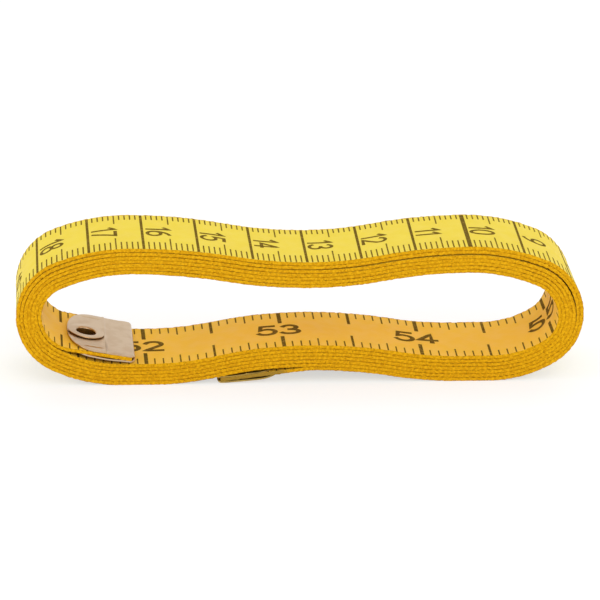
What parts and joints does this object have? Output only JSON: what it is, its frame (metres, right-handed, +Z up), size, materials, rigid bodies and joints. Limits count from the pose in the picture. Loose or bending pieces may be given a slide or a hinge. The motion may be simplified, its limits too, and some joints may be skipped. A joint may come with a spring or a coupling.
{
  "type": "cloth tape measure",
  "caption": "Soft cloth tape measure wound into a flat waisted loop, with a folded metal clip and an eyelet on each end, for measuring fabric and the body.",
  "frame": {"origin": "on the table, under the middle of the loop", "axes": "+X along the loop to the right, +Y across the width of the tape away from the viewer, +Z up"},
  "size_m": [0.104, 0.019, 0.0262],
  "materials": {
    "tape": "coated cloth, satin, printed scale",
    "clip": "nickel-plated sheet, worn satin",
    "eyelet": "plated outside, bare inside the hole"
  },
  "bodies": {
    "outer_run": {"outer_tape_run": "tape", "outer_end_clip": "clip", "outer_eyelet": "eyelet"},
    "coil": {"tape_coil": "tape"},
    "inner_end": {"inner_tape_end": "tape", "inner_end_clip": "clip", "inner_eyelet": "eyelet"}
  },
  "joints": [
    {"name": "coil_tip", "type": "hinge", "parent": "outer_run", "child": "coil", "pos_m": [0.04059, 0, 0.00091], "axis": [0, 1, 0], "range_deg": [0, 20]},
    {"name": "inner_end_lift", "type": "hinge", "parent": "coil", "child": "inner_end", "pos_m": [-0.04694, 0, 0.01123], "axis": [0, -1, 0], "range_deg": [0, 45], "stiffness_Nm_per_rad": 0.004}
  ]
}
